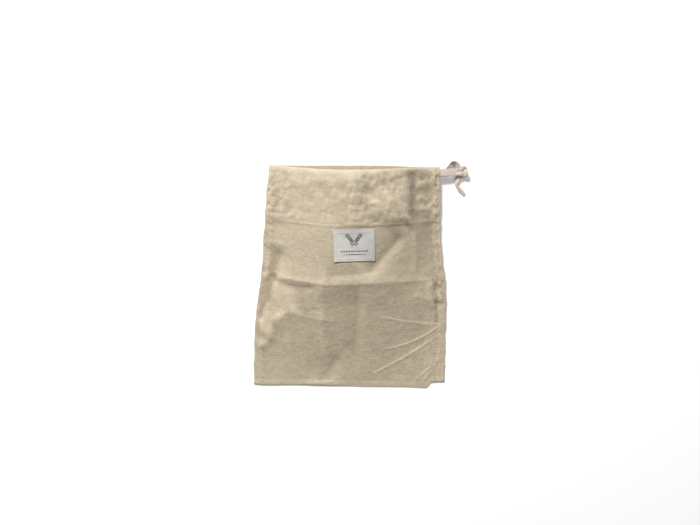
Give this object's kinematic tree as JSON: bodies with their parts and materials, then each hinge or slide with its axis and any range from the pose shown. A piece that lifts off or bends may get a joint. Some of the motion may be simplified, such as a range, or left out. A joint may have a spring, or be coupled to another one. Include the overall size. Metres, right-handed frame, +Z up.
{
  "type": "linen bread bag with a drawstring",
  "caption": "Linen drawstring bread bag lying on its back, open at the mouth and hollow as a loaf fills it, with a sewn label and a knotted flat tape tie.",
  "frame": {"origin": "middle of the bag's bounding box on the surface it lies on, the free tape left out", "axes": "+Z up from the back panel through the front panel, +Y toward the mouth, +X toward the side seam where the tape comes out"},
  "size_m": [0.3341, 0.3521, 0.0783],
  "materials": {
    "linen": "natural flax linen, plain weave with slubs, washed and creased",
    "label": "off-white woven label with a plain dark motif",
    "tape": "soft cream cotton tape"
  },
  "bodies": {
    "root": {"front_panel": "linen", "back_panel": "linen", "label": "label", "drawstring": "tape", "knot": "tape", "tape_tail": "tape"}
  },
  "joints": []
}
